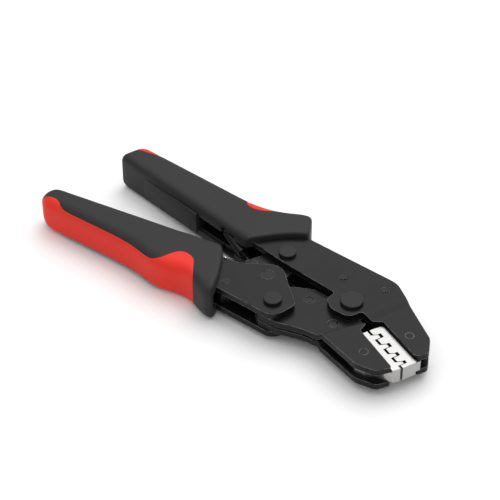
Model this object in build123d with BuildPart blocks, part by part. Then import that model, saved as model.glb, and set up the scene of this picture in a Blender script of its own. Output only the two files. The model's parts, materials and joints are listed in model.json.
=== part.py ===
"""Ratchet crimping pliers: two-plate frame and jaw, toggle linkage, four-nest die set, soft grips.

Millimetres. +X runs from the handles to the jaws, +Y from the moving handle to the fixed one,
and +Z is up. The pliers lie flat on their grips at z = 0. Every outline below is drawn in the
plane of the mid-section with the main pivot at (0, 0), as a list of (x, y, corner radius).
The jaws are closed.
"""

import os
from math import atan2, cos, degrees, hypot, radians, sin

from build123d import *

# Overall size and place
MAIN_X, MAIN_Y = 55.655, -0.97        # main pivot, measured from the middle of the whole tool
GRIP_HALF = 9.4                      # half thickness of the grips, which carry the tool
MID = Plane(origin=(MAIN_X, MAIN_Y, GRIP_HALF))
REACH = 250.0                        # longer than anything, for cuts that run right through

# Sheet-metal layers, as heights above the mid-section
SHEET = 2.8                          # plate thickness
INNER = 0.5                          # jaw plates, at the linkage
OUTER = 3.65                         # frame and handle plates
DIE_LEVEL = 2.5                      # both pairs of plates, beside the dies
OUTER_TOP = OUTER + SHEET
INNER_TOP = INNER + SHEET
DIE_TOP = DIE_LEVEL + SHEET
LINK_HALF = 3.3                      # link and pawl, between the outer plates

# Pivots of the four-bar linkage
MAIN = (0.0, 0.0)                    # frame to jaw
LINK_FRAME = (-39.8, 9.0)            # frame to link
LINK_HANDLE = (-38.3, -7.1)          # link to handle
HANDLE_JAW = (-27.1, -19.0)          # handle to jaw
PAWL = (-50.4, -21.2)                # handle to pawl
RUNNING = 0.05                       # radial clearance of a turning fit
SLACK = 0.75                         # radial clearance of the link on its frame rivet
STAKE_NOTCH, STAKE_DEPTH = 0.55, 0.5  # radius and depth of the punch marks round a staked end
STAKE_PROUD, STAKE_SUNK = 0.4, 0.3   # how far an end stands above its plate, or lies below

# Rivets and pins: shank and head radii
HEAD_PROUD = 1.6
MAIN_SHANK, MAIN_HEAD = 3.0, 4.9
LINK_SHANK, LINK_HEAD = 2.5, 3.8
JAW_SHANK, JAW_HEAD = 2.6, 3.9
FLUSH_SHANK = 2.85
PAWL_SHANK = 1.8
BUSH_WALL = 1.1
FRAME_STAKES, FRAME_STAKE_R = [(-11.7, 10.7), (7.0, 14.3)], 1.9
JAW_STAKES, JAW_STAKE_R = [(-17.0, -6.6), (-0.7, -12.7)], 2.2
DIE_PIN_R = 1.85
FIXED_DIE_PIN, MOVING_DIE_PIN = (29.8, -1.6), (20.0, -20.6)
TANG_RIVET_R = 2.0
FRAME_TANG_RIVETS = [(-97.0, 18.5), (-124.0, 21.5)]
HANDLE_TANG_RIVETS = [(-98.0, -20.3), (-130.0, -22.2)]

# Plate outlines
FRAME = [(-134, 17.4, 2), (-131.6, 26.2, 2), (-44, 22.9, 80), (8.8, 21.3, 10), (37.6, 1.9, 6),
         (41.7, -5.2, 2.5), (38.6, -10.5, 2.2), (16.6, -1.0, 1.6), (12.9, -3.7, 2.4),
         (6.6, -2.3, 1.8), (4.2, -8.3, 4.2), (-4.6, -8.4, 4.6), (-9.6, -4.6, 2.4),
         (-9.2, 0.7, 1.2), (-40, 3.6, 60), (-58, 6.7, 30), (-74, 7.4, 30)]
JAW = [(-20.5, -26.4, 12), (-8.5, -23, 12), (-0.5, -22.2, 6), (21.5, -28.6, 6), (30.6, -27.1, 4),
       (34.2, -21.4, 1), (11.7, -11, 0.8), (11.6, -6.7, 0.8), (5, -3, 1), (-3, 0, 1),
       (-8, -0.8, 1), (-19, 0.1, 8), (-28.6, -4.9, 3), (-30.6, -12, 4), (-30, -26.4, 1)]
HANDLE = [(-140, -24.6, 2), (-62, -26.3, 60), (-21, -27.2, 6), (-17.8, -15.4, 3.5),
          (-37.3, 1.5, 7.2), (-53, -8.3, 3), (-60.5, -9.3, 5), (-140, -20.4, 2)]
LINK = [(-33.1, -6, 2), (-33.3, 9, 3), (-46.6, 11, 3), (-53.6, -2.6, 2), (-51.5, -9.6, 2),
        (-44, -13, 2)]

# Joggles: a point on the fold, the fold's direction in degrees, and the length of the slope
FRAME_FOLD, FRAME_FOLD_ANGLE, FRAME_SLOPE = (14.7, 5.6), 65.5, 4.2
JAW_FOLD, JAW_FOLD_ANGLE, JAW_SLOPE = (3.3, -15.9), 56.8, 1.6
FRAME_BENDS, JAW_BENDS = (11, 4), (0.5, 0.5)   # bend radii before and after each slope

# Grip outlines
FIXED_GRIP = [(-141.6, 16.7, 2.5), (-135.6, 29.8, 3.2), (-66, 26.5, 25), (-50, 34.8, 4),
              (-44.4, 34.5, 2.5), (-37.4, 22.6, 1.5), (-47, 16.8, 8), (-55.2, 8, 6),
              (-58.3, 3.3, 1.5)]
MOVING_GRIP = [(-65.4, -4.5, 2.5), (-149.6, -18.3, 3), (-154, -22, 3), (-147, -29.3, 4),
               (-98, -28.2, 40), (-83.5, -30.9, 12), (-66.5, -27.8, 20), (-53.4, -33.2, 3),
               (-49.9, -30.8, 2), (-52.3, -24, 8), (-58.3, -13.4, 12), (-62.4, -7.2, 2)]
FIXED_INLAY = [(-142, 24.6, 0), (-132, 24.9, 2), (-126.5, 27.3, 3), (-78, 25.8, 3),
               (-67.2, 21.2, 2.5), (-61.2, 25.4, 0), (-61.2, 38, 0), (-142, 38, 0)]
MOVING_INLAY = [(-157, -21.6, 0), (-148.6, -21.9, 2), (-137.8, -27.2, 4), (-86, -27.7, 4),
                (-80.4, -26, 2), (-76.2, -17.2, 2), (-70.8, -17.6, 2), (-62.2, -26.9, 0),
                (-62.2, -36, 0), (-157, -36, 0)]
FIXED_CHANNEL = [(-88.2, 2, 0), (-88.2, 20.4, 2), (-60, 24, 4), (-30, 22, 0), (-50, -4, 0)]
MOVING_CHANNEL = [(-92, 0, 0), (-92, -23.4, 2), (-60, -25.8, 3), (-44, -25.8, 0), (-50, 4, 0)]
WINDOW = [(-73.6, 2, 0), (-73.6, 8, 0.6), (-65.7, 7.6, 0.6), (-65.7, 2, 0)]
WINDOW_TOP = 7.1
GRIP_EDGE = 2.6                      # rounding of the grips' long edges

# Dies, in their own axes: s along the split from its rear end, t from the split to the frame
DIE_REAR, DIE_ANGLE = (13.5, -8.4), -23.7
DIE_HALF, TANG_HALF = 3.55, 2.45
SPLIT = 1.15                         # t of the fixed die's tooth tips
BASE = 0.05                          # t of the moving die's floor
DIE_GAP = 0.3                        # between the flanks of the two dies
NESTS = [(4.85, 2.5), (11.25, 2.4), (17.3, 2.1), (22.6, 1.75)]  # centre along s, width
NEST_TOP, ANVIL_TOP, FLANK = 4.3, 2.9, 1.05
FIXED_DIE_HEAD = [(0, SPLIT, 0), (0.1, 7.4, 1.8), (25.1, 7.9, 0.3), (25.3, SPLIT, 0)]
FIXED_DIE_TANG = [(1.6, 6, 0), (1.6, 15.5, 3), (17, 16.2, 6), (24.7, 10.2, 1), (24.4, 6, 0)]
MOVING_DIE_HEAD = [(0, BASE, 0), (0, -2.3, 0.2), (24.6, -3.5, 0.3), (25.2, BASE, 0)]
MOVING_DIE_TANG = [(1.4, -1.5, 0), (1, -11.5, 3), (12.5, -13.6, 3), (16.4, -11.8, 2),
                   (19.4, -7.8, 3), (22.4, -6.0, 1.5), (24.6, -3.9, 0.4), (24.4, -1.5, 0)]

# Ratchet
TOOTH_TIP, TOOTH_COUNT, TOOTH_PITCH, TOOTH_START = 12.6, 9, 4.4, 234.0
RIM_R, RIM_START, RIM_SWEEP = 11.2, 185.0, 100.0   # rim of the link beside its teeth
PAWL_REACH = 5.6                     # from the pawl's pivot to its nose
PAWL_SHAPE = [(PAWL_REACH, 0, 0.4), (1.4, 3.3, 1), (-2.6, 2.6, 1.5), (-3.2, -2.2, 1.5),
              (1.4, -3.3, 1)]
PAWL_TAIL = (-54.9, -18.5)           # post on the pawl's tail for its spring

# Springs
SPRING_ANCHOR = (-84.0, 16.0)        # pin in the frame that holds the return spring
LINK_HOOK = (-49.9, -1.2)            # pin in the link for its other end
ANCHOR_R, HOOK_R, POST_R = 1.5, 1.2, 0.5
EYE_CLEARANCE = 0.1
CROSS_WIRE = (-59.3, -9.7)           # wire across the handle plates that holds the pawl spring
CROSS_WIRE_R = 0.6
HOOK_SLOT = [(-57, -5, 0), (-57, 5, 0), (-46.6, 3.4, 2), (-46.2, -4.4, 2)]


def outline(corners):
    """Closed face through the corners, each with its own radius."""
    with BuildSketch() as face:
        with BuildLine():
            FilletPolyline(*[(x, y) for x, y, _ in corners], radius=[r for *_, r in corners],
                           close=True)
        make_face()
    return face.sketch


def prism(corners, low, high, plane=MID):
    """Solid with the outline of the corners, between two heights."""
    with BuildPart() as solid:
        with BuildSketch(plane.offset(low)):
            add(outline(corners))
        extrude(amount=high - low)
    return solid.part


def rod(spot, radius, low, high, plane=MID):
    """Upright round bar between two heights."""
    with BuildPart() as solid:
        with BuildSketch(plane.offset(low)):
            with Locations(spot):
                Circle(radius)
        extrude(amount=high - low)
    return solid.part


def fold_sheet(fold, angle, slope, rear, front, rear_bend=0, front_bend=0):
    """Endless bent sheet that lies at one height behind the fold and at another before it."""
    ahead = Vector(sin(radians(angle)), -cos(radians(angle)), 0)
    across = ahead.cross(Vector(0, 0, 1))
    section = Plane(origin=MID.from_local_coords((*fold, 0)), x_dir=ahead, z_dir=across)
    upper = [(-REACH, rear + SHEET, 0), (-slope / 2, rear + SHEET, rear_bend),
             (slope / 2, front + SHEET, front_bend), (REACH, front + SHEET, 0)]
    lower = [(x, z - SHEET, bend) for x, z, bend in reversed(upper)]
    with BuildPart() as sheet:
        with BuildSketch(section):
            add(outline(upper + lower))
        extrude(amount=REACH, both=True)
    return sheet.part


def plate(corners, bosses, holes, sheet):
    """Upper plate of a pair: its outline and round bosses, cut from a sheet and drilled."""
    with BuildPart() as blank:
        with BuildSketch(MID):
            add(outline(corners))
            for spot, radius in bosses:
                with Locations(spot):
                    Circle(radius)
        extrude(amount=OUTER_TOP + 1)
        add(sheet, mode=Mode.INTERSECT)
        with BuildSketch(MID):
            for spot, radius in holes:
                with Locations(spot):
                    Circle(radius)
        extrude(amount=OUTER_TOP + 1, mode=Mode.SUBTRACT)
    return blank.part


def mirrored(part):
    """The same part on the other side of the mid-section."""
    with BuildPart() as twin:
        mirror(part, about=MID)
    return twin.part


def headed_rivet(spot, shank, head):
    """Rivet through the outer plates with a flat head on each."""
    with BuildPart() as rivet:
        add(rod(spot, shank, -OUTER_TOP, OUTER_TOP))
        add(rod(spot, head, OUTER_TOP, OUTER_TOP + HEAD_PROUD))
        add(rod(spot, head, -OUTER_TOP - HEAD_PROUD, -OUTER_TOP))
        rims = rivet.edges().filter_by(GeomType.CIRCLE).group_by(Axis.Z)
        chamfer(rims[0] + rims[-1], 0.25)
    return rivet.part


def stakes(spots, radius, top, shoulder, shoulder_half):
    """Pins with a spacer shoulder between the plates and four stake marks round each end."""
    with BuildPart() as pins:
        for spot in spots:
            add(rod(spot, radius, -top, top))
            ends = pins.edges(Select.LAST).filter_by(GeomType.CIRCLE)
            chamfer(ends, 0.25)
            add(rod(spot, shoulder, -shoulder_half, shoulder_half))
            with BuildSketch(MID):
                with Locations(spot):
                    with PolarLocations(radius, 4, start_angle=45):
                        Circle(STAKE_NOTCH)
            notches = extrude(amount=top, both=True, mode=Mode.PRIVATE)
            add(notches - rod(spot, REACH, -top + STAKE_DEPTH, top - STAKE_DEPTH),
                mode=Mode.SUBTRACT)
    return pins.part


def along(start, end):
    """Distance and direction from one spot to another."""
    run, rise = end[0] - start[0], end[1] - start[1]
    return hypot(run, rise), degrees(atan2(rise, run))


def turned(spot, angle):
    """Mid-section plane with its origin at the spot and its x axis turned by the angle."""
    return Plane(origin=MID.from_local_coords((*spot, 0)),
                 x_dir=(cos(radians(angle)), sin(radians(angle)), 0), z_dir=(0, 0, 1))


def pointed(start, end):
    """Mid-section plane at one spot with its x axis towards another."""
    return turned(start, along(start, end)[1])


def sector(spot, radius, start, sweep):
    """Slice of a disc about the spot."""
    with BuildSketch() as slice_face:
        with BuildLine():
            rim = CenterArc(spot, radius, start, sweep)
            Line(rim @ 1, spot)
            Line(spot, rim @ 0)
        make_face()
    return slice_face.sketch


def hooked_spring(start, start_r, end, end_r, coil_r, wire_r, turns):
    """Close-wound tension spring between two round pins, with an eye round each."""
    length, _ = along(start, end)
    axes = pointed(start, end)
    body = turns * 2 * wire_r
    first = (length - body) / 2
    with BuildPart() as spring:
        with BuildSketch(Plane(origin=axes.from_local_coords((first, 0, 0)),
                               x_dir=(0, 0, 1), z_dir=axes.x_dir)):
            Circle(coil_r)
            Circle(coil_r - 2 * wire_r, mode=Mode.SUBTRACT)
        extrude(amount=body)
        ends = ((0, start_r, first, 1), (length, end_r, first + body, -1))
        for middle, pin_r, x_to, toward in ends:
            eye_r = pin_r + EYE_CLEARANCE
            with BuildSketch(axes.offset(-wire_r)):
                with Locations((middle, 0)):
                    Circle(eye_r + 2 * wire_r)
                    Circle(eye_r, mode=Mode.SUBTRACT)
            extrude(amount=2 * wire_r)
            leg_start = middle + toward * (eye_r + wire_r / 2)
            with BuildSketch(axes.offset(-wire_r)):
                with Locations(((leg_start + x_to) / 2, 0)):
                    Rectangle(abs(x_to - leg_start), 2 * coil_r - 0.2)
                    Rectangle(abs(x_to - leg_start), 2 * coil_r - 4 * wire_r, mode=Mode.SUBTRACT)
            extrude(amount=2 * wire_r)
    return spring.part


def grip_blank(corners):
    """Whole grip before it is divided and hollowed, with rounded long edges."""
    with BuildPart() as blank:
        add(prism(corners, -GRIP_HALF, GRIP_HALF))
        rims = blank.edges().group_by(Axis.Z)
        fillet(rims[0] + rims[-1], GRIP_EDGE)
    return blank.part


def grip_hollow(tang, channel, rivets):
    """Room inside a grip: a pocket for each plate, the open channel between them, the rivets."""
    with BuildPart() as hollow:
        add(prism(tang, OUTER, OUTER_TOP))
        add(prism(tang, -OUTER_TOP, -OUTER))
        add(prism(channel, -OUTER, OUTER))
        add(rivets)
    return hollow.part


def save(part, label):
    """Name a finished piece and write it."""
    part.label = label
    export_step(part, f"parts/{label}.step")


def mid_box():
    """Size of the whole set, for checking that the origin is in the middle of the floor."""
    box = Compound(children=list(finished.values())).bounding_box()
    print("box", box.min, box.max)


os.makedirs("parts", exist_ok=True)
finished = {}

# ---------------------------------------------------------------- frame
frame_sheet = fold_sheet(FRAME_FOLD, FRAME_FOLD_ANGLE, FRAME_SLOPE, OUTER, DIE_LEVEL,
                         *FRAME_BENDS)
frame_holes = [(MAIN, MAIN_SHANK), (LINK_FRAME, LINK_SHANK), (FIXED_DIE_PIN, DIE_PIN_R),
               (SPRING_ANCHOR, ANCHOR_R)]
frame_holes += [(spot, FRAME_STAKE_R) for spot in FRAME_STAKES]
frame_holes += [(spot, TANG_RIVET_R) for spot in FRAME_TANG_RIVETS]

with BuildPart() as frame_plate_upper:
    add(plate(FRAME, [], frame_holes, frame_sheet))
finished["frame_plate_upper"] = frame_plate_upper.part

with BuildPart() as frame_plate_lower:
    add(mirrored(frame_plate_upper.part))
finished["frame_plate_lower"] = frame_plate_lower.part

with BuildPart() as main_pivot_rivet:
    add(headed_rivet(MAIN, MAIN_SHANK, MAIN_HEAD))
finished["main_pivot_rivet"] = main_pivot_rivet.part

with BuildPart() as link_frame_rivet:
    add(headed_rivet(LINK_FRAME, LINK_SHANK, LINK_HEAD))
finished["link_frame_rivet"] = link_frame_rivet.part

with BuildPart() as frame_spacer_pins:
    add(stakes(FRAME_STAKES, FRAME_STAKE_R, OUTER_TOP + STAKE_PROUD, 3.0, OUTER))
finished["frame_spacer_pins"] = frame_spacer_pins.part

with BuildPart() as frame_tang_rivets:
    add(stakes(FRAME_TANG_RIVETS, TANG_RIVET_R, OUTER_TOP - STAKE_SUNK, 3.4, OUTER))
finished["frame_tang_rivets"] = frame_tang_rivets.part

with BuildPart() as spring_anchor_pin:
    add(rod(SPRING_ANCHOR, ANCHOR_R, -OUTER_TOP, OUTER_TOP))
finished["spring_anchor_pin"] = spring_anchor_pin.part

# ---------------------------------------------------------------- dies
die_axes = turned(DIE_REAR, DIE_ANGLE)

with BuildPart() as fixed_die:
    add(prism(FIXED_DIE_HEAD, -DIE_HALF, DIE_HALF, die_axes))
    add(prism(FIXED_DIE_TANG, -TANG_HALF, TANG_HALF, die_axes))
    for centre, width in NESTS:
        slot = [(centre - width / 2 - FLANK - DIE_GAP / 2, 0, 0), (centre - width / 2, 2.9, 0),
                (centre - width / 2, NEST_TOP, 0.3), (centre + width / 2, NEST_TOP, 0.3),
                (centre + width / 2, 0, 0)]
        add(prism(slot, -DIE_HALF, DIE_HALF, die_axes), mode=Mode.SUBTRACT)
    add(rod(FIXED_DIE_PIN, DIE_PIN_R, -DIE_HALF, DIE_HALF), mode=Mode.SUBTRACT)
finished["fixed_die"] = fixed_die.part

with BuildPart() as fixed_die_pin:
    add(rod(FIXED_DIE_PIN, DIE_PIN_R, -DIE_TOP, DIE_TOP))
finished["fixed_die_pin"] = fixed_die_pin.part

with BuildPart() as moving_die:
    add(prism(MOVING_DIE_HEAD, -DIE_HALF, DIE_HALF, die_axes))
    add(prism(MOVING_DIE_TANG, -TANG_HALF, TANG_HALF, die_axes))
    for centre, width in NESTS:
        rear, ahead = centre - width / 2 + DIE_GAP, centre + width / 2 - DIE_GAP
        anvil = [(rear - FLANK, 0, 0), (rear, ANVIL_TOP, 0.1), (ahead, ANVIL_TOP, 0.1),
                 (ahead, 0, 0)]
        add(prism(anvil, -DIE_HALF, DIE_HALF, die_axes))
    add(rod(MOVING_DIE_PIN, DIE_PIN_R, -DIE_HALF, DIE_HALF), mode=Mode.SUBTRACT)
finished["moving_die"] = moving_die.part

with BuildPart() as moving_die_pin:
    add(rod(MOVING_DIE_PIN, DIE_PIN_R, -DIE_TOP, DIE_TOP))
finished["moving_die_pin"] = moving_die_pin.part

# ---------------------------------------------------------------- jaw
jaw_sheet = fold_sheet(JAW_FOLD, JAW_FOLD_ANGLE, JAW_SLOPE, INNER, DIE_LEVEL, *JAW_BENDS)
jaw_bosses = [(MAIN, 8.0), (HANDLE_JAW, 7.4)]
jaw_holes = [(MAIN, MAIN_SHANK + BUSH_WALL), (HANDLE_JAW, JAW_SHANK + RUNNING),
             (MOVING_DIE_PIN, DIE_PIN_R)]
jaw_holes += [(spot, JAW_STAKE_R) for spot in JAW_STAKES]

with BuildPart() as jaw_plate_upper:
    add(plate(JAW, jaw_bosses, jaw_holes, jaw_sheet))
finished["jaw_plate_upper"] = jaw_plate_upper.part

with BuildPart() as jaw_plate_lower:
    add(mirrored(jaw_plate_upper.part))
finished["jaw_plate_lower"] = jaw_plate_lower.part

with BuildPart() as jaw_spacer_pins:
    add(stakes(JAW_STAKES, JAW_STAKE_R, INNER_TOP - STAKE_SUNK, 3.6, INNER))
finished["jaw_spacer_pins"] = jaw_spacer_pins.part

with BuildPart() as jaw_bush:
    add(rod(MAIN, MAIN_SHANK + BUSH_WALL, -INNER_TOP, INNER_TOP))
    add(rod(MAIN, MAIN_SHANK + RUNNING, -INNER_TOP, INNER_TOP), mode=Mode.SUBTRACT)
finished["jaw_bush"] = jaw_bush.part

# ---------------------------------------------------------------- moving handle
handle_holes = [(HANDLE_JAW, JAW_SHANK), (LINK_HANDLE, FLUSH_SHANK), (PAWL, PAWL_SHANK)]
handle_holes += [(spot, TANG_RIVET_R) for spot in HANDLE_TANG_RIVETS]
flat_sheet = fold_sheet(MAIN, 90, 1, OUTER, OUTER)
wire_notch = [(CROSS_WIRE[0] - CROSS_WIRE_R, CROSS_WIRE[1] - CROSS_WIRE_R, 0.5),
              (CROSS_WIRE[0] + CROSS_WIRE_R, CROSS_WIRE[1] - CROSS_WIRE_R, 0.5),
              (CROSS_WIRE[0] + CROSS_WIRE_R, CROSS_WIRE[1] + 4, 0),
              (CROSS_WIRE[0] - CROSS_WIRE_R, CROSS_WIRE[1] + 4, 0)]

with BuildPart() as handle_plate_upper:
    add(plate(HANDLE, [], handle_holes, flat_sheet))
    add(prism(wire_notch, OUTER, OUTER_TOP), mode=Mode.SUBTRACT)
finished["handle_plate_upper"] = handle_plate_upper.part

with BuildPart() as handle_plate_lower:
    add(mirrored(handle_plate_upper.part))
finished["handle_plate_lower"] = handle_plate_lower.part

with BuildPart() as handle_jaw_rivet:
    add(headed_rivet(HANDLE_JAW, JAW_SHANK, JAW_HEAD))
finished["handle_jaw_rivet"] = handle_jaw_rivet.part

with BuildPart() as link_handle_pin:
    add(rod(LINK_HANDLE, FLUSH_SHANK, -OUTER_TOP + 0.15, OUTER_TOP - 0.15))
finished["link_handle_pin"] = link_handle_pin.part

with BuildPart() as pawl_rivet:
    add(rod(PAWL, PAWL_SHANK, -OUTER_TOP - 0.25, OUTER_TOP + 0.25))
    chamfer(pawl_rivet.edges().filter_by(GeomType.CIRCLE), 0.2)
finished["pawl_rivet"] = pawl_rivet.part

with BuildPart() as handle_tang_rivets:
    add(stakes(HANDLE_TANG_RIVETS, TANG_RIVET_R, OUTER_TOP - STAKE_SUNK, 2.1, OUTER))
finished["handle_tang_rivets"] = handle_tang_rivets.part

with BuildPart() as cross_wire:
    add(rod(CROSS_WIRE, CROSS_WIRE_R, -OUTER_TOP - 0.9, OUTER_TOP + 0.9))
    fillet(cross_wire.edges().filter_by(GeomType.CIRCLE), 0.35)
finished["cross_wire"] = cross_wire.part

# ---------------------------------------------------------------- link and ratchet
with BuildPart() as ratchet_link:
    with BuildSketch(MID.offset(-LINK_HALF)):
        add(outline(LINK))
        with Locations(LINK_FRAME):
            Circle(7.6)
        with Locations(LINK_HANDLE):
            Circle(7.0)
        add(sector(LINK_HANDLE, RIM_R, RIM_START, RIM_SWEEP))
        add(sector(LINK_HANDLE, TOOTH_TIP, TOOTH_START, TOOTH_COUNT * TOOTH_PITCH))
        with Locations(LINK_HANDLE):
            with PolarLocations(TOOTH_TIP, TOOTH_COUNT, TOOTH_START + TOOTH_PITCH / 2,
                                (TOOTH_COUNT - 1) * TOOTH_PITCH, endpoint=True):
                Rectangle(0.75, 0.75, rotation=45, mode=Mode.SUBTRACT)
            Circle(FLUSH_SHANK + BUSH_WALL, mode=Mode.SUBTRACT)
        with Locations(LINK_FRAME):
            Circle(LINK_SHANK + SLACK, mode=Mode.SUBTRACT)
        with Locations(LINK_HOOK):
            Circle(HOOK_R, mode=Mode.SUBTRACT)
    extrude(amount=2 * LINK_HALF)
    add(prism(HOOK_SLOT, -0.7, 0.7), mode=Mode.SUBTRACT)
finished["ratchet_link"] = ratchet_link.part

with BuildPart() as link_hook_pin:
    add(rod(LINK_HOOK, HOOK_R, -LINK_HALF, LINK_HALF))
finished["link_hook_pin"] = link_hook_pin.part

with BuildPart() as link_bush:
    add(rod(LINK_HANDLE, FLUSH_SHANK + BUSH_WALL, -LINK_HALF, LINK_HALF))
    add(rod(LINK_HANDLE, FLUSH_SHANK + RUNNING, -LINK_HALF, LINK_HALF), mode=Mode.SUBTRACT)
finished["link_bush"] = link_bush.part

tail_length, _ = along(PAWL, PAWL_TAIL)
tail = [(1, -1.5, 0), (tail_length + 1.2, -1.2, 1), (tail_length + 1.2, 1.2, 1), (1, 1.5, 0)]

with BuildPart() as pawl:
    add(prism(PAWL_SHAPE, -LINK_HALF, LINK_HALF, pointed(PAWL, LINK_HANDLE)))
    add(prism(tail, -1.4, -0.4, pointed(PAWL, PAWL_TAIL)))
    add(rod(PAWL_TAIL, POST_R, -1.4, 0.9))
    add(rod(PAWL, PAWL_SHANK + RUNNING, -LINK_HALF, LINK_HALF), mode=Mode.SUBTRACT)
finished["pawl"] = pawl.part

# ---------------------------------------------------------------- springs
with BuildPart() as return_spring:
    add(hooked_spring(SPRING_ANCHOR, ANCHOR_R, LINK_HOOK, HOOK_R, 2.4, 0.4, 20))
finished["return_spring"] = return_spring.part

with BuildPart() as pawl_spring:
    add(hooked_spring(CROSS_WIRE, CROSS_WIRE_R, PAWL_TAIL, POST_R, 1.3, 0.25, 9))
finished["pawl_spring"] = pawl_spring.part

# ---------------------------------------------------------------- grips
fixed_hollow = grip_hollow(FRAME, FIXED_CHANNEL, frame_tang_rivets.part)
moving_hollow = grip_hollow(HANDLE, MOVING_CHANNEL, handle_tang_rivets.part)

with BuildPart() as fixed_grip:
    add(grip_blank(FIXED_GRIP))
    add(prism(FIXED_INLAY, -GRIP_HALF, GRIP_HALF), mode=Mode.SUBTRACT)
    add(fixed_hollow, mode=Mode.SUBTRACT)
    add(prism(WINDOW, -WINDOW_TOP, WINDOW_TOP), mode=Mode.SUBTRACT)
finished["fixed_grip"] = fixed_grip.part

with BuildPart() as fixed_grip_inlay:
    add(grip_blank(FIXED_GRIP))
    add(prism(FIXED_INLAY, -GRIP_HALF, GRIP_HALF), mode=Mode.INTERSECT)
    add(fixed_hollow, mode=Mode.SUBTRACT)
finished["fixed_grip_inlay"] = fixed_grip_inlay.part

with BuildPart() as moving_grip:
    add(grip_blank(MOVING_GRIP))
    add(prism(MOVING_INLAY, -GRIP_HALF, GRIP_HALF), mode=Mode.SUBTRACT)
    add(moving_hollow, mode=Mode.SUBTRACT)
finished["moving_grip"] = moving_grip.part

with BuildPart() as moving_grip_inlay:
    add(grip_blank(MOVING_GRIP))
    add(prism(MOVING_INLAY, -GRIP_HALF, GRIP_HALF), mode=Mode.INTERSECT)
    add(moving_hollow, mode=Mode.SUBTRACT)
finished["moving_grip_inlay"] = moving_grip_inlay.part

for label, part in finished.items():
    save(part, label)
mid_box()
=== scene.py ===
"""Ratchet crimping pliers: soft grips, springs, finishes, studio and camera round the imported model.

The tables of places are millimetres from the main pivot, in the plane of the mid-section,
with +X towards the jaws, +Y towards the fixed handle and +Z up.
"""
import json
from math import acos, cos, pi, radians, sin

import bmesh
import bpy
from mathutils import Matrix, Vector


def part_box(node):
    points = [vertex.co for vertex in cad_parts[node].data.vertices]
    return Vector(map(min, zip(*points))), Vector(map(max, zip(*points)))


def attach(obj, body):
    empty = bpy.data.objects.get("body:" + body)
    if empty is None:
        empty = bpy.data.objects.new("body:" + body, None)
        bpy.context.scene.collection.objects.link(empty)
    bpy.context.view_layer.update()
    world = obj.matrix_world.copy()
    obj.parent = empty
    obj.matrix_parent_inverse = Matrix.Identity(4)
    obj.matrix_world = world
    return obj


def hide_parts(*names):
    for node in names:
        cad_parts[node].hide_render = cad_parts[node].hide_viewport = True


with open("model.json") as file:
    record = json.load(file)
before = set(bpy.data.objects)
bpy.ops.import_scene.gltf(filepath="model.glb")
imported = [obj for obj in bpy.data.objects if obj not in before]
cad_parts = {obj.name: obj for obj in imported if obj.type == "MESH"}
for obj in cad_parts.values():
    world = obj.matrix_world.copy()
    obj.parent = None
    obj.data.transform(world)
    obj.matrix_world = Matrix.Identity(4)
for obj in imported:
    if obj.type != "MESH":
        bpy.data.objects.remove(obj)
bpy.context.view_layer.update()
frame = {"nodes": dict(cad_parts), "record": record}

MM = 0.001
PIVOT = (Vector(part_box("main_pivot_rivet")[0]) + Vector(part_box("main_pivot_rivet")[1])) / 2
CHANNEL_HALF = 3.9               # open channel of a grip, a little past the plates' inner faces


def spot(x, y, z=0.0):
    """A place from the tables, in metres."""
    return PIVOT + Vector((x, y, z)) * MM


def show(label, mesh):
    """Put a mesh or curve in the scene at the origin."""
    piece = bpy.data.objects.new(label, mesh)
    bpy.context.scene.collection.objects.link(piece)
    return piece


def settle(piece):
    """Turn a piece's modifier stack into its mesh."""
    graph = bpy.context.evaluated_depsgraph_get()
    finished = bpy.data.meshes.new_from_object(piece.evaluated_get(graph))
    piece.modifiers.clear()
    piece.data = finished


# ---------------------------------------------------------------- camera
CAMERA_TARGET = spot(-58.8, 7.2)
CAMERA_DISTANCE = 0.7469         # metres
CAMERA_BACK = Vector((0.4576, -0.6073, 0.6494)).normalized()
CAMERA_LENS = 122.4              # millimetres, a long lens

camera = bpy.data.objects.new("camera", bpy.data.cameras.new("camera"))
camera.data.sensor_width = 36.0
camera.data.lens = CAMERA_LENS
camera.data.clip_start = 0.01
camera.location = CAMERA_TARGET + CAMERA_BACK * CAMERA_DISTANCE
camera.rotation_euler = CAMERA_BACK.to_track_quat("Z", "Y").to_euler()
bpy.context.scene.collection.objects.link(camera)
bpy.context.scene.camera = camera


# ---------------------------------------------------------------- materials
def blank_material(label):
    """A material with an empty node tree, and the tree's nodes and links."""
    material = bpy.data.materials.new(label)
    material.use_nodes = True
    tree = material.node_tree
    tree.nodes.clear()
    return material, tree, tree.nodes, tree.links


def around(colour, low, high):
    """The colour scaled down and up, for the two ends of a mottled coat."""
    return [(*[min(1, c * scale) for c in colour], 1) for scale in (low, high)]


def arrange(tree, groups):
    """Frame the nodes of each effect and set them out in columns."""
    for row, (effect, members) in enumerate(groups):
        border = tree.nodes.new("NodeFrame")
        border.label = effect
        for column, node in enumerate(members):
            node.parent = border
            node.location = (220 * column - 900, -330 * row)


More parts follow.
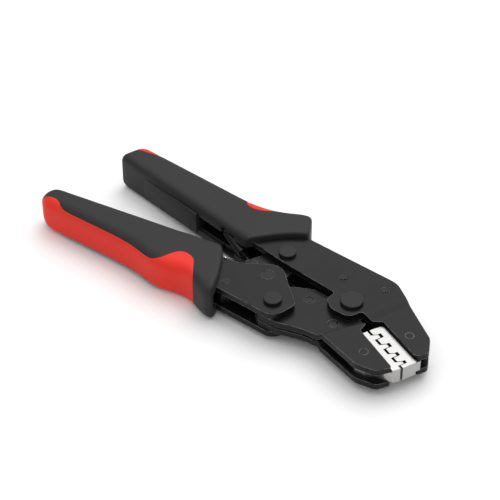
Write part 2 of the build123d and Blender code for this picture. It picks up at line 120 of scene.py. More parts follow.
def coated_steel(label, colour, worn_and_painted_highlight, roughness, rim):
    """Satin black oxide: mottled coat, fine dust, and soft rims lightened in patches, partly wear
    through the coat and partly a painted highlight along the rims.
    """
    material, tree, nodes, links = blank_material(label)

    place = nodes.new("ShaderNodeTexCoord")
    place.label = "place on the plate"

    cloud = nodes.new("ShaderNodeTexNoise")
    cloud.label = "uneven oxide"
    cloud.inputs["Scale"].default_value = 55
    cloud.inputs["Detail"].default_value = 4
    coat = nodes.new("ShaderNodeMix")
    coat.label = "coat colour"
    coat.data_type = "RGBA"
    coat.inputs["A"].default_value, coat.inputs["B"].default_value = around(colour, 0.82, 1.18)
    links.new(place.outputs["Object"], cloud.inputs["Vector"])
    links.new(cloud.outputs["Fac"], coat.inputs["Factor"])

    dust = nodes.new("ShaderNodeTexNoise")
    dust.label = "dust specks"
    dust.inputs["Scale"].default_value = 1400
    dust.inputs["Detail"].default_value = 1
    few = nodes.new("ShaderNodeMapRange")
    few.label = "only the sharpest specks"
    few.inputs["From Min"].default_value = 0.735
    few.inputs["From Max"].default_value = 0.80
    dusted = nodes.new("ShaderNodeMix")
    dusted.label = "coat with specks"
    dusted.data_type = "RGBA"
    dusted.inputs["B"].default_value = (*[min(1, c * 4.5) for c in colour], 1)
    links.new(place.outputs["Object"], dust.inputs["Vector"])
    links.new(dust.outputs["Fac"], few.inputs["Value"])
    links.new(few.outputs["Result"], dusted.inputs["Factor"])
    links.new(coat.outputs["Result"], dusted.inputs["A"])

    soft = nodes.new("ShaderNodeBevel")
    soft.label = "softened rim"
    soft.samples = 6
    soft.inputs["Radius"].default_value = rim
    flat = nodes.new("ShaderNodeNewGeometry")
    flat.label = "true face"
    turn = nodes.new("ShaderNodeVectorMath")
    turn.label = "how far the rim turns"
    turn.operation = "DOT_PRODUCT"
    rimmed = nodes.new("ShaderNodeMapRange")
    rimmed.label = "rim mask"
    rimmed.inputs["From Min"].default_value = 0.985
    rimmed.inputs["From Max"].default_value = 0.84
    scuff = nodes.new("ShaderNodeTexNoise")
    scuff.label = "patchy wear"
    scuff.inputs["Scale"].default_value = 330
    scuff.inputs["Detail"].default_value = 3
    patch = nodes.new("ShaderNodeMapRange")
    patch.label = "where the coat is gone"
    patch.inputs["From Min"].default_value = 0.30
    patch.inputs["From Max"].default_value = 0.56
    wear_and_painted_highlight = nodes.new("ShaderNodeMath")
    wear_and_painted_highlight.label = "worn rim"
    wear_and_painted_highlight.operation = "MULTIPLY"
    # Lighter colour on the rims in patches: bare metal from wear, and also a painted highlight
    # standing in for light caught by the rims.
    surface = nodes.new("ShaderNodeMix")
    surface.label = "coat and worn rim"
    surface.data_type = "RGBA"
    surface.inputs["B"].default_value = (*worn_and_painted_highlight, 1)
    links.new(soft.outputs["Normal"], turn.inputs[0])
    links.new(flat.outputs["Normal"], turn.inputs[1])
    links.new(turn.outputs["Value"], rimmed.inputs["Value"])
    links.new(place.outputs["Object"], scuff.inputs["Vector"])
    links.new(scuff.outputs["Fac"], patch.inputs["Value"])
    links.new(rimmed.outputs["Result"], wear_and_painted_highlight.inputs[0])
    links.new(patch.outputs["Result"], wear_and_painted_highlight.inputs[1])
    links.new(wear_and_painted_highlight.outputs["Value"], surface.inputs["Factor"])
    links.new(dusted.outputs["Result"], surface.inputs["A"])

    tooth = nodes.new("ShaderNodeTexNoise")
    tooth.label = "tooth of the coat"
    tooth.inputs["Scale"].default_value = 2600
    tooth.inputs["Detail"].default_value = 2
    relief = nodes.new("ShaderNodeBump")
    relief.label = "fine relief"
    relief.inputs["Strength"].default_value = 0.10
    relief.inputs["Distance"].default_value = 0.00005
    gloss = nodes.new("ShaderNodeMapRange")
    gloss.label = "uneven gloss"
    gloss.inputs["To Min"].default_value = roughness - 0.06
    gloss.inputs["To Max"].default_value = roughness + 0.08
    links.new(place.outputs["Object"], tooth.inputs["Vector"])
    links.new(tooth.outputs["Fac"], relief.inputs["Height"])
    links.new(soft.outputs["Normal"], relief.inputs["Normal"])
    links.new(cloud.outputs["Fac"], gloss.inputs["Value"])

    shader = nodes.new("ShaderNodeBsdfPrincipled")
    shader.label = "oxide on steel"
    shader.inputs["Metallic"].default_value = 0.0
    shader.inputs["Specular IOR Level"].default_value = 0.16
    output = nodes.new("ShaderNodeOutputMaterial")
    output.label = "surface"
    links.new(surface.outputs["Result"], shader.inputs["Base Color"])
    links.new(gloss.outputs["Result"], shader.inputs["Roughness"])
    links.new(relief.outputs["Normal"], shader.inputs["Normal"])
    links.new(shader.outputs["BSDF"], output.inputs["Surface"])

    arrange(tree, (("Coat", (place, cloud, coat)), ("Dust", (dust, few, dusted)),
                   ("Worn rims and painted highlight", (soft, flat, turn, rimmed, scuff, patch, wear_and_painted_highlight, surface)),
                   ("Relief and gloss", (tooth, relief, gloss)), ("Surface", (shader, output))))
    return material


def bare_metal(label, colour, roughness, mottle, mottle_scale):
    """Plated or plain metal with a mottled sheen, fine grinding marks and soft rims."""
    material, tree, nodes, links = blank_material(label)

    place = nodes.new("ShaderNodeTexCoord")
    place.label = "place on the metal"

    cloud = nodes.new("ShaderNodeTexNoise")
    cloud.label = "mottled plating"
    cloud.inputs["Scale"].default_value = mottle_scale
    cloud.inputs["Detail"].default_value = 6
    cloud.inputs["Roughness"].default_value = 0.65
    tone = nodes.new("ShaderNodeMix")
    tone.label = "plating colour"
    tone.data_type = "RGBA"
    tone.inputs["A"].default_value = (*[c * (1 - mottle) for c in colour], 1)
    tone.inputs["B"].default_value = (*colour, 1)
    links.new(place.outputs["Object"], cloud.inputs["Vector"])
    links.new(cloud.outputs["Fac"], tone.inputs["Factor"])

    stretch = nodes.new("ShaderNodeMapping")
    stretch.label = "along the grinding"
    stretch.inputs["Scale"].default_value = (180, 2600, 2600)
    grind = nodes.new("ShaderNodeTexNoise")
    grind.label = "grinding marks"
    grind.inputs["Scale"].default_value = 1
    grind.inputs["Detail"].default_value = 3
    soft = nodes.new("ShaderNodeBevel")
    soft.label = "softened rim"
    soft.samples = 6
    soft.inputs["Radius"].default_value = 0.00012
    relief = nodes.new("ShaderNodeBump")
    relief.label = "marks in relief"
    relief.inputs["Strength"].default_value = 0.10
    relief.inputs["Distance"].default_value = 0.00003
    gloss = nodes.new("ShaderNodeMapRange")
    gloss.label = "uneven gloss"
    gloss.inputs["To Min"].default_value = roughness - 0.07
    gloss.inputs["To Max"].default_value = roughness + 0.10
    links.new(place.outputs["Object"], stretch.inputs["Vector"])
    links.new(stretch.outputs["Vector"], grind.inputs["Vector"])
    links.new(grind.outputs["Fac"], relief.inputs["Height"])
    links.new(soft.outputs["Normal"], relief.inputs["Normal"])
    links.new(cloud.outputs["Fac"], gloss.inputs["Value"])

    shader = nodes.new("ShaderNodeBsdfPrincipled")
    shader.label = "metal"
    shader.inputs["Metallic"].default_value = 1.0
    output = nodes.new("ShaderNodeOutputMaterial")
    output.label = "surface"
    links.new(tone.outputs["Result"], shader.inputs["Base Color"])
    links.new(gloss.outputs["Result"], shader.inputs["Roughness"])
    links.new(relief.outputs["Normal"], shader.inputs["Normal"])
    links.new(shader.outputs["BSDF"], output.inputs["Surface"])

    arrange(tree, (("Plating", (place, cloud, tone)),
                   ("Grinding and gloss", (stretch, grind, soft, relief, gloss)),
                   ("Surface", (shader, output))))
    return material


def soft_rubber(label, colour, roughness, sheen):
    """Moulded rubber: fine spark-eroded grain, faint clouding, a little lint, velvety sheen."""
    material, tree, nodes, links = blank_material(label)

    place = nodes.new("ShaderNodeTexCoord")
    place.label = "place on the grip"

    cloud = nodes.new("ShaderNodeTexNoise")
    cloud.label = "clouding"
    cloud.inputs["Scale"].default_value = 38
    cloud.inputs["Detail"].default_value = 3
    body = nodes.new("ShaderNodeMix")
    body.label = "rubber colour"
    body.data_type = "RGBA"
    body.inputs["A"].default_value, body.inputs["B"].default_value = around(colour, 0.90, 1.10)
    links.new(place.outputs["Object"], cloud.inputs["Vector"])
    links.new(cloud.outputs["Fac"], body.inputs["Factor"])

    lint = nodes.new("ShaderNodeTexNoise")
    lint.label = "lint"
    lint.inputs["Scale"].default_value = 900
    lint.inputs["Detail"].default_value = 1
    few = nodes.new("ShaderNodeMapRange")
    few.label = "only a few specks"
    few.inputs["From Min"].default_value = 0.76
    few.inputs["From Max"].default_value = 0.82
    dusted = nodes.new("ShaderNodeMix")
    dusted.label = "rubber with lint"
    dusted.data_type = "RGBA"
    dusted.inputs["B"].default_value = (*[min(1, c * 1.6 + 0.06) for c in colour], 1)
    links.new(place.outputs["Object"], lint.inputs["Vector"])
    links.new(lint.outputs["Fac"], few.inputs["Value"])
    links.new(few.outputs["Result"], dusted.inputs["Factor"])
    links.new(body.outputs["Result"], dusted.inputs["A"])

    grain = nodes.new("ShaderNodeTexNoise")
    grain.label = "spark-eroded grain"
    grain.inputs["Scale"].default_value = 2100
    grain.inputs["Detail"].default_value = 3
    grain.inputs["Roughness"].default_value = 0.6
    relief = nodes.new("ShaderNodeBump")
    relief.label = "grain in relief"
    relief.inputs["Strength"].default_value = 0.32
    relief.inputs["Distance"].default_value = 0.00008
    gloss = nodes.new("ShaderNodeMapRange")
    gloss.label = "grain breaks the gloss"
    gloss.inputs["To Min"].default_value = roughness - 0.05
    gloss.inputs["To Max"].default_value = roughness + 0.07
    links.new(place.outputs["Object"], grain.inputs["Vector"])
    links.new(grain.outputs["Fac"], relief.inputs["Height"])
    links.new(grain.outputs["Fac"], gloss.inputs["Value"])

    shader = nodes.new("ShaderNodeBsdfPrincipled")
    shader.label = "rubber"
    shader.inputs["Specular IOR Level"].default_value = 0.3
    shader.inputs["Sheen Weight"].default_value = sheen
    shader.inputs["Sheen Roughness"].default_value = 0.5
    output = nodes.new("ShaderNodeOutputMaterial")
    output.label = "surface"
    links.new(dusted.outputs["Result"], shader.inputs["Base Color"])
    links.new(gloss.outputs["Result"], shader.inputs["Roughness"])
    links.new(relief.outputs["Normal"], shader.inputs["Normal"])
    links.new(shader.outputs["BSDF"], output.inputs["Surface"])

    arrange(tree, (("Colour", (place, cloud, body)), ("Lint", (lint, few, dusted)),
                   ("Grain", (grain, relief, gloss)), ("Surface", (shader, output))))
    return material


# The second colour of each coated steel is its rim colour: bare metal of wear, kept light as a
# painted highlight on the rims as well.
plate_black = coated_steel("plate black oxide", (0.0065, 0.0065, 0.007), (0.38, 0.38, 0.38), 0.33,
                           0.0003)
rivet_black = coated_steel("rivet black oxide", (0.012, 0.012, 0.0125), (0.26, 0.26, 0.26), 0.31,
                           0.00014)
pawl_black = coated_steel("pawl hardened steel", (0.009, 0.009, 0.0095), (0.34, 0.34, 0.34), 0.34,
                          0.0002)
die_nickel = bare_metal("die satin nickel", (0.50, 0.496, 0.485), 0.36, 0.30, 520)
spring_wire = bare_metal("spring wire", (0.55, 0.55, 0.56), 0.30, 0.2, 300)
spring_oiled = bare_metal("oil-blackened spring wire", (0.07, 0.07, 0.075), 0.34, 0.3, 300)
bush_brass = bare_metal("sintered bush", (0.50, 0.36, 0.20), 0.42, 0.35, 600)
grip_charcoal = soft_rubber("grip charcoal rubber", (0.018, 0.018, 0.0185), 0.60, 0.03)
grip_red = soft_rubber("grip red rubber", (0.76, 0.024, 0.012), 0.54, 0.0)

FINISHES = {"black_steel": plate_black, "rivet_steel": rivet_black, "pawl_steel": pawl_black,
            "die_steel": die_nickel, "spring_steel": spring_wire, "bush_brass": bush_brass,
            "grip_black": grip_charcoal, "grip_red": grip_red}
for subpart in frame["record"]["subparts"]:
    node = frame["nodes"][subpart["node"]]
    for place in node.material_slots:
        place.material = FINISHES[subpart["material_slot"]]

# ---------------------------------------------------------------- grips
RED_STEPS, BLACK_STEPS = 6, 14   # faces from the outer side to the colour line, and on
RED_DEPTH = 1.6                  # the red rubber lies this deep in the black
RIM_CREASE = 0.62                # how tight the colour line stays when the rubber is rounded
CROSS_SAMPLES = 24               # steps for measuring across a section
CAP_INSET = 2.4                  # ring inside an end face that keeps its rim tight
CRISP_ANGLE = 38                 # degrees; edges of a cut that turn more than this stay sharp


def along_line(line, share):
    """The place at a share of the length of a chain of points."""
    runs = [(b - a).length for a, b in zip(line, line[1:])]
    left = share * sum(runs)
    for start, end, run in zip(line, line[1:], runs):
        if left <= run:
            return start.lerp(end, left / run)
        left -= run
    return line[-1]


def section(outer, inner, end_line, bend, half, depth, outer_round, inner_round, inset=0.0):
    """Upper half of one cross-section, from the middle of the outer side to that of the inner.

    The section stands on a line from the outer to the inner point, bent towards an end line.
    """
    def across(share):
        straight = outer.lerp(inner, share)
        return straight + (along_line(end_line, share)
                           - end_line[0].lerp(end_line[-1], share)) * bend

    samples = [across(k / CROSS_SAMPLES) for k in range(CROSS_SAMPLES + 1)]
    width = sum((b - a).length for a, b in zip(samples, samples[1:]))
    wide, tall = width - 2 * inset, half - inset
    outer_r, inner_r = max(outer_round - inset, 0.6), max(inner_round - inset, 0.6)
    stretches = (tall - outer_r, pi / 2 * outer_r, wide - outer_r - inner_r, pi / 2 * inner_r,
                 tall - inner_r)
    reach = max(depth - inset, 0.1)
    if reach < outer_r:
        colour_line = stretches[0] + outer_r * acos(1 - reach / outer_r)
    else:
        colour_line = stretches[0] + stretches[1] + reach - outer_r
    whole = sum(stretches)
    steps = [colour_line * k / RED_STEPS for k in range(RED_STEPS)]
    steps += [colour_line + (whole - colour_line) * k / BLACK_STEPS
              for k in range(BLACK_STEPS + 1)]
    points = []
    for step in steps:
        if step <= stretches[0]:
            far, high = 0.0, step
        elif step <= sum(stretches[:2]):
            angle = (step - stretches[0]) / outer_r
            far, high = outer_r * (1 - cos(angle)), tall - outer_r * (1 - sin(angle))
        elif step <= sum(stretches[:3]):
            far, high = outer_r + step - sum(stretches[:2]), tall
        elif step <= sum(stretches[:4]):
            angle = (step - sum(stretches[:3])) / inner_r
            far, high = wide - inner_r * (1 - sin(angle)), tall - inner_r * (1 - cos(angle))
        else:
            far, high = wide, max(whole - step, 0.0)
        flat = across((far + inset) / width)
        points.append(spot(flat.x, flat.y, high))
    return points


def grip(label, stations, rear_line, front_line, last_red, outer_round, inner_round):
    """Black grip and its red inlay, lofted through the stations and closed at both ends.

    Returns the two pieces as cages that share the colour line.
    """
    rear, front = ([Vector(p) for p in line] for line in (rear_line, front_line))
    halves = []
    for number, (ox, oy, ix, iy, bend, half, depth) in enumerate(stations):
        line = rear if bend < 0 else front
        shape = (Vector((ox, oy)), Vector((ix, iy)), line, abs(bend), half, depth)
        rounds = (min(outer_round, half - 1), min(inner_round, half - 1))
        if number == 0:
            halves.append(section(*shape, *rounds, inset=CAP_INSET))
        halves.append(section(*shape, *rounds))
        if number == len(stations) - 1:
            halves.append(section(*shape, *rounds, inset=CAP_INSET))
    last_red += 1
    count = RED_STEPS + BLACK_STEPS
    cage = bmesh.new()
    rings = []
    for points in halves:
        top = [cage.verts.new(p) for p in points]
        low = [cage.verts.new((p.x, p.y, 2 * PIVOT.z - p.z)) for p in points[1:-1]]
        rings.append(top + low[::-1])
    size = 2 * count
    red_steps = set(range(RED_STEPS)) | set(range(size - RED_STEPS, size))
    for i, (ring, after) in enumerate(zip(rings, rings[1:])):
        for j in range(size):
            k = (j + 1) % size
            face = cage.faces.new((ring[j], ring[k], after[k], after[j]))
            face.material_index = int(j in red_steps and i < last_red)
    for end, ring in enumerate((rings[0], rings[-1])):
        for j in range(count):
            corners = [ring[j], ring[j + 1], ring[(size - j - 1) % size], ring[(size - j) % size]]
            face = cage.faces.new(list(dict.fromkeys(corners)))
            face.material_index = int(end == 0 and j < RED_STEPS)
    bmesh.ops.recalc_face_normals(cage, faces=cage.faces)
    cage.normal_update()
    cage.verts.index_update()

    places = [v.co.copy() for v in cage.verts]
    sunk = {v.index: v.co - v.normal * RED_DEPTH * MM for f in cage.faces if f.material_index
            for v in f.verts}
    black_faces = [[v.index for v in f.verts] for f in cage.faces if not f.material_index]
    red_faces = [[v.index for v in f.verts] for f in cage.faces if f.material_index]
    black_edges = {(a, b) for f in black_faces for a, b in zip(f, f[1:] + f[:1])}
    rim = [(a, b) for f in red_faces for a, b in zip(f, f[1:] + f[:1]) if (b, a) in black_edges]
    cage.free()

    lift = len(places)
    below = {old: lift + new for new, old in enumerate(sunk)}
    points = places + list(sunk.values())
    floor = [[below[v] for v in f] for f in red_faces]
    black = black_faces + floor + [[a, b, below[b], below[a]] for a, b in rim]
    red = red_faces + [f[::-1] for f in floor] + [[b, a, below[a], below[b]] for a, b in rim]
    pieces = []
    for name, faces, finish in ((label, black, grip_charcoal), (label + "_inlay", red, grip_red)):
        mesh = bpy.data.meshes.new(name)
        used = sorted({v for f in faces for v in f})
        number = {old: new for new, old in enumerate(used)}
        mesh.from_pydata([points[v] for v in used], [], [[number[v] for v in f] for f in faces])
        creases = mesh.attributes.new("crease_edge", "FLOAT", "EDGE")
        tight = {frozenset((number[a], number[b])): RIM_CREASE for a, b in rim}
        tight.update({frozenset((number[below[a]], number[below[b]])): 1.0 for a, b in rim})
        for edge in mesh.edges:
            creases.data[edge.index].value = tight.get(frozenset(edge.vertices), 0.0)
        mesh.polygons.foreach_set("use_smooth", [True] * len(mesh.polygons))
        mesh.materials.append(finish)
        piece = show(name + "_rubber", mesh)
        rounding = piece.modifiers.new("rounded rubber", "SUBSURF")
        rounding.levels = rounding.render_levels = 2
        pieces.append(piece)
    return pieces


def slab(label, corners, half):
    """Flat block between two heights, for cutting a channel."""
    block = bmesh.new()
    low = [block.verts.new(spot(x, y, -half)) for x, y in corners]
    high = [block.verts.new(spot(x, y, half)) for x, y in corners]
    block.faces.new(low[::-1])
    block.faces.new(high)
    for k in range(len(corners)):
        after = (k + 1) % len(corners)
        block.faces.new((low[k], low[after], high[after], high[k]))
    bmesh.ops.recalc_face_normals(block, faces=block.faces)
    mesh = bpy.data.meshes.new(label)
    block.to_mesh(mesh)
    block.free()
    return show(label, mesh)


def cut(piece, cutters):
    """Cut channels out of a piece, keep its edges crisp, and take the cutters away."""
    for cutter in cutters:
        trim = piece.modifiers.new("channel", "BOOLEAN")
        trim.operation = "DIFFERENCE"
        trim.solver = "EXACT"
        trim.object = cutter
    settle(piece)
    for cutter in cutters:
        bpy.data.objects.remove(cutter)
    piece.data.set_sharp_from_angle(angle=radians(CRISP_ANGLE))


MOVING_STATIONS = (
    # outer x, y, inner x, y, bend to the rear (-) or front (+), half height, colour line's depth
    (-149.5, -27.6, -150.4, -20.4, -1.0, 4.6, 2.4), (-148.5, -28.5, -149.6, -19.2, -0.85, 6.6, 2.9),
    (-147.0, -29.1, -148.5, -18.4, -0.65, 8.1, 3.5), (-145.3, -29.3, -147.3, -17.9, -0.42, 9.0, 4.0),
    (-143.2, -29.3, -144.8, -17.5, -0.2, 9.35, 4.1), (-141.0, -29.2, -142.2, -17.1, -0.05, 9.4, 3.8),
    (-139.4, -29.1, -140.2, -16.75, 0, 9.4, 2.6), (-137.8, -29.1, -138.4, -16.4, 0, 9.4, 1.3),
    (-134.4, -29.0, -134.8, -15.85, 0, 9.4, 0.9), (-128.0, -28.8, -128.0, -14.8, 0, 9.4, 0.9),
    (-121.0, -28.7, -121.0, -13.6, 0, 9.4, 0.9), (-114.0, -28.5, -114.0, -12.5, 0, 9.4, 0.9),
    (-107.0, -28.4, -107.0, -11.3, 0, 9.4, 0.9), (-100.5, -28.5, -100.8, -10.3, 0, 9.4, 0.9),
    (-94.5, -29.0, -96.0, -9.5, 0, 9.4, 0.8), (-89.5, -29.9, -92.4, -8.9, 0, 9.4, 0.7),
    (-85.8, -30.6, -89.9, -8.5, 0, 9.4, 0.75), (-82.9, -30.9, -88.0, -8.2, 0, 9.4, 1.2),
    (-80.2, -30.8, -86.5, -8.0, 0, 9.4, 2.5), (-77.3, -30.3, -85.3, -7.8, 0, 9.4, 5.0),
    (-74.3, -29.6, -84.2, -7.6, 0, 9.4, 8.1), (-71.0, -28.8, -82.9, -7.4, 0, 9.4, 10.2),
    (-67.8, -28.5, -81.4, -7.1, 0, 9.4, 11.1), (-64.6, -28.9, -79.6, -6.8, 0, 9.4, 11.6),
    (-61.4, -29.9, -77.4, -6.5, 0, 9.4, 11.7), (-59.4, -30.8, -75.3, -6.1, 0.1, 9.4, 11.7),
    (-57.2, -31.8, -72.8, -5.7, 0.25, 9.4, 11.7), (-55.0, -32.6, -70.3, -5.3, 0.45, 9.4, 11.7),
    (-53.1, -33.1, -67.8, -4.9, 0.7, 9.4, 11.7), (-51.6, -32.9, -65.6, -4.6, 1.0, 9.3, 11.7))
MOVING_REAR = ((-149.5, -27.6), (-151.7, -25.6), (-152.7, -23.0), (-152.0, -21.2), (-150.4, -20.4))
MOVING_FRONT = ((-51.6, -32.9), (-50.2, -30.8), (-51.4, -26.8), (-53.7, -21.5), (-57.6, -14.4),
                (-61.4, -8.4), (-65.6, -4.6))
moving_grip, moving_inlay = grip("moving_grip", MOVING_STATIONS, MOVING_REAR, MOVING_FRONT, 24,
                                 5.0, 3.2)
cut(moving_grip, [slab("moving channel", ((-92, 0), (-92, -23.4), (-62, -25.8), (-54, -29.4),
                                          (-44, -29.4), (-44, 4)), CHANNEL_HALF)])

FIXED_STATIONS = (
    (-136.6, 29.4, -141.2, 17.4, 0, 8.4, 5.4), (-134.9, 29.8, -139.5, 16.5, 0, 9.2, 5.3),
    (-132.8, 29.8, -137.2, 16.0, 0, 9.4, 5.0), (-130.0, 29.6, -134.0, 15.5, 0, 9.4, 4.3),
    (-127.4, 29.5, -130.6, 14.9, 0, 9.4, 2.9), (-124.9, 29.3, -127.1, 14.4, 0, 9.4, 1.0),
    (-120.0, 29.1, -121.0, 13.4, 0, 9.4, 0.45), (-114.0, 28.8, -114.5, 12.3, 0, 9.4, 0.35),
    (-107.5, 28.5, -107.5, 11.2, 0, 9.4, 0.35), (-101.0, 28.2, -101.0, 10.2, 0, 9.4, 0.35),
    (-94.5, 27.9, -95.0, 9.2, 0, 9.4, 0.35), (-88.5, 27.6, -90.0, 8.4, 0, 9.4, 0.35),
    (-83.0, 27.3, -85.6, 7.7, 0, 9.4, 0.35), (-78.5, 27.1, -82.0, 7.1, 0, 9.4, 0.35),
    (-75.4, 27.0, -79.3, 6.7, 0, 9.4, 0.7), (-73.6, 27.0, -77.5, 6.35, 0, 9.4, 1.7),
    (-71.9, 27.0, -75.9, 6.1, 0.02, 9.4, 4.2), (-69.3, 27.2, -73.7, 5.75, 0.07, 9.4, 5.3),
    (-66.4, 27.6, -71.5, 5.4, 0.14, 9.4, 5.4), (-63.6, 28.1, -69.4, 5.0, 0.23, 9.4, 4.5),
    (-61.2, 28.7, -67.6, 4.8, 0.32, 9.4, 3.3), (-58.6, 29.6, -66.0, 4.5, 0.42, 9.4, 3.4),
    (-55.9, 30.8, -64.4, 4.3, 0.54, 9.4, 3.8), (-53.3, 32.2, -62.9, 4.0, 0.66, 9.4, 4.2),
    (-50.4, 33.8, -61.3, 3.8, 0.79, 9.4, 4.4), (-47.4, 34.9, -59.9, 3.6, 0.91, 9.4, 4.6),
    (-45.0, 34.8, -58.6, 3.5, 1.0, 9.2, 4.6))
FIXED_REAR = ((-136.6, 29.4), (-141.2, 17.4))
FIXED_FRONT = ((-45.0, 34.8), (-41.4, 28.9), (-37.9, 23.0), (-43.0, 19.9), (-47.3, 16.3),
               (-51.2, 12.2), (-54.6, 8.2), (-58.6, 3.5))
fixed_grip, fixed_inlay = grip("fixed_grip", FIXED_STATIONS, FIXED_REAR, FIXED_FRONT, 20,
                               4.2, 3.0)
cut(fixed_grip, [slab("fixed channel", ((-88.2, 2), (-88.2, 20.4), (-60, 24), (-30, 22),
                                        (-30, 2)), CHANNEL_HALF),
                 slab("nose slot", ((-34, 21), (-34, 29.5), (-41.2, 28.8), (-44.6, 25.4),
                                    (-41.8, 21)), 2.6),
                 slab("window", ((-73.6, 2), (-73.6, 8), (-65.7, 7.6), (-65.7, 2)), 7.1)])

for piece, node in ((moving_grip, "moving_grip"), (moving_inlay, "moving_grip_inlay"),
                    (fixed_grip, "fixed_grip"), (fixed_inlay, "fixed_grip_inlay")):
    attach(piece, "handle" if node.startswith("moving") else "frame")
    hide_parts(node)


PAD_HALF, PAD_ROOT = 5.2, 2.0    # half the pads' width, and how far they reach into a grip


def finger_pad(label, line, proud, body):
    """Raised pad along the inner side of a grip, sinking into it at its rear end."""
    block = bmesh.new()
    rows = []
    for x, y, out in line:
        side = 1 if proud < 0 else -1
        row = [block.verts.new(spot(x, y + shift, z)) for shift, z in
               ((side * PAD_ROOT, PAD_HALF), (proud * out, PAD_HALF), (proud * out, -PAD_HALF),
                (side * PAD_ROOT, -PAD_HALF))]
        rows.append(row)
    for row, after in zip(rows, rows[1:]):
        for k in range(4):
            block.faces.new((row[k], row[(k + 1) % 4], after[(k + 1) % 4], after[k]))
    block.faces.new(rows[0])
    block.faces.new(rows[-1][::-1])
    bmesh.ops.recalc_face_normals(block, faces=block.faces)
    mesh = bpy.data.meshes.new(label)
    block.to_mesh(mesh)
    block.free()
    mesh.polygons.foreach_set("use_smooth", [True] * len(mesh.polygons))
    mesh.materials.append(grip_charcoal)
    piece = show(label, mesh)
    edge = piece.modifiers.new("eased edges", "BEVEL")
    edge.width = 0.35 * MM
    edge.segments = 3
    edge.limit_method = "ANGLE"
    edge.angle_limit = radians(40)
    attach(piece, body)
    return piece


finger_pad("fixed_grip_pad", ((-129, 14.67, -0.6), (-126, 14.19, -0.1), (-121, 13.39, 0.3),
                              (-112, 11.94, 0.7), (-100, 10.01, 0.9), (-88.8, 8.21, 1.0)),
           -1.2, "frame")
finger_pad("moving_grip_pad", ((-136, -16.07, -0.6), (-133, -15.58, -0.1), (-128, -14.76, 0.3),
                               (-118, -13.12, 0.7), (-106, -11.15, 0.9), (-92.4, -8.93, 1.0)),
           0.75, "handle")


# ---------------------------------------------------------------- springs
COIL_POINTS = 12                 # points round one turn of a coil
HOOK_POINTS, HOOK_STEP = 11, 21  # points round a hook, and the degrees between them
HOOK_CLEARANCE = 0.1             # between a hook's wire and its pin


def tension_spring(label, node, body, finish, start, start_pin, end, end_pin, coil, wire, turns):
    """Close-wound tension spring with a hook round a pin at each end."""
    first, last = Vector(start), Vector(end)
    length = (last - first).length
    axis = (last - first) / length
    side = Vector((-axis.y, axis.x))
    wound = turns * 2 * wire
    lead = (length - wound) / 2

    def local(a, b, z):
        flat = first + axis * a + side * b
        return spot(flat.x, flat.y, z)

    points = []
    hook = start_pin + wire + HOOK_CLEARANCE
    for k in range(HOOK_POINTS):
        angle = radians(150 + HOOK_STEP * k)
        points.append(local(hook * cos(angle), hook * sin(angle), 0))
    points.append(local(lead - 1.4 * wire, 0, 0))
    middle = coil - wire
    for k in range(turns * COIL_POINTS + 1):
        angle = 2 * pi * k / COIL_POINTS
        points.append(local(lead + wound * k / (turns * COIL_POINTS), middle * cos(angle),
                            middle * sin(angle)))
    points.append(local(lead + wound + 1.4 * wire, 0, 0))
    hook = end_pin + wire + HOOK_CLEARANCE
    for k in range(HOOK_POINTS):
        angle = radians(180 + HOOK_STEP * k)
        points.append(local(length + hook * cos(angle), hook * sin(angle), 0))
    curve = bpy.data.curves.new(label, "CURVE")
    curve.dimensions = "3D"
    curve.bevel_depth = wire * MM
    curve.bevel_resolution = 3
    curve.use_fill_caps = True
    curve.resolution_u = 2
    line = curve.splines.new("NURBS")
    line.points.add(len(points) - 1)
    for point, place in zip(line.points, points):
        point.co = (*place, 1)
    line.order_u = 3
    line.use_endpoint_u = True
    curve.materials.append(finish)
    piece = show(label, curve)
    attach(piece, body)
    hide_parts(node)


tension_spring("return_spring_coil", "return_spring", "frame", spring_oiled, (-84.0, 16.0), 1.5,
               (-49.9, -1.2), 1.2, 2.4, 0.4, 20)
tension_spring("pawl_spring_coil", "pawl_spring", "handle", spring_wire, (-59.3, -9.7), 0.6,
               (-54.9, -18.5), 0.5, 1.3, 0.25, 9)

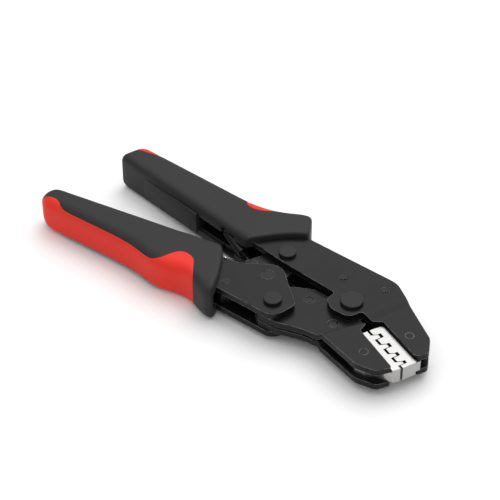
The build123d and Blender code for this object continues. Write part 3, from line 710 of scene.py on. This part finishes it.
# ---------------------------------------------------------------- studio
floor_mesh = bpy.data.meshes.new("floor")
FLOOR_EDGE = 6.0                 # metres from the middle to each side
floor_mesh.from_pydata([(x * FLOOR_EDGE, y * FLOOR_EDGE, 0)
                        for x, y in ((-1, -1), (1, -1), (1, 1), (-1, 1))], [], [(0, 1, 2, 3)])
floor = show("floor", floor_mesh)
floor_paper, _, nodes, links = blank_material("white paper")
paper = nodes.new("ShaderNodeBsdfPrincipled")
paper.label = "matt paper"
paper.location = (-200, 0)
paper.inputs["Base Color"].default_value = (0.93, 0.93, 0.93, 1)
paper.inputs["Roughness"].default_value = 0.9
paper.inputs["Specular IOR Level"].default_value = 0.1
sheet = nodes.new("ShaderNodeOutputMaterial")
sheet.label = "floor surface"
sheet.location = (100, 0)
links.new(paper.outputs["BSDF"], sheet.inputs["Surface"])
floor_mesh.materials.append(floor_paper)

world = bpy.data.worlds.new("studio")
world.use_nodes = True
nodes, links = world.node_tree.nodes, world.node_tree.links
nodes.clear()
toward = nodes.new("ShaderNodeTexCoord")
toward.label = "direction"
toward.location = (-800, 0)
height = nodes.new("ShaderNodeSeparateXYZ")
height.label = "height above the horizon"
height.location = (-600, 0)
glow = nodes.new("ShaderNodeMapRange")
glow.label = "dim walls, bright ceiling"
glow.location = (-400, 0)
glow.inputs["From Min"].default_value = 0.05
glow.inputs["From Max"].default_value = 0.95
glow.inputs["To Min"].default_value = 0.22
glow.inputs["To Max"].default_value = 1.50
ray = nodes.new("ShaderNodeLightPath")
ray.label = "seen or lighting"
ray.location = (-600, -260)
seen = nodes.new("ShaderNodeMix")
seen.label = "pale where it is seen"
seen.location = (-300, -200)
seen.inputs["B"].default_value = 1.0
sky = nodes.new("ShaderNodeBackground")
sky.label = "studio light"
sky.location = (-100, 0)
room = nodes.new("ShaderNodeOutputWorld")
room.label = "studio"
room.location = (100, 0)
links.new(toward.outputs["Generated"], height.inputs["Vector"])
links.new(height.outputs["Z"], glow.inputs["Value"])
links.new(ray.outputs["Is Camera Ray"], seen.inputs["Factor"])
links.new(glow.outputs["Result"], seen.inputs["A"])
links.new(seen.outputs["Result"], sky.inputs["Strength"])
links.new(sky.outputs["Background"], room.inputs["Surface"])
bpy.context.scene.world = world


def softbox(label, place, size, power):
    """Square soft light that points at the middle of the tool."""
    light = bpy.data.lights.new(label, "AREA")
    light.shape = "SQUARE"
    light.size = size
    light.energy = power
    lamp = bpy.data.objects.new(label, light)
    lamp.location = place
    lamp.rotation_euler = (Vector(place) - Vector((0, 0, 0.01))).to_track_quat("Z", "Y").to_euler()
    bpy.context.scene.collection.objects.link(lamp)


softbox("overhead light", (-0.10, 0.50, 0.90), 0.9, 5.0)
bpy.context.scene.view_settings.view_transform = "Standard"
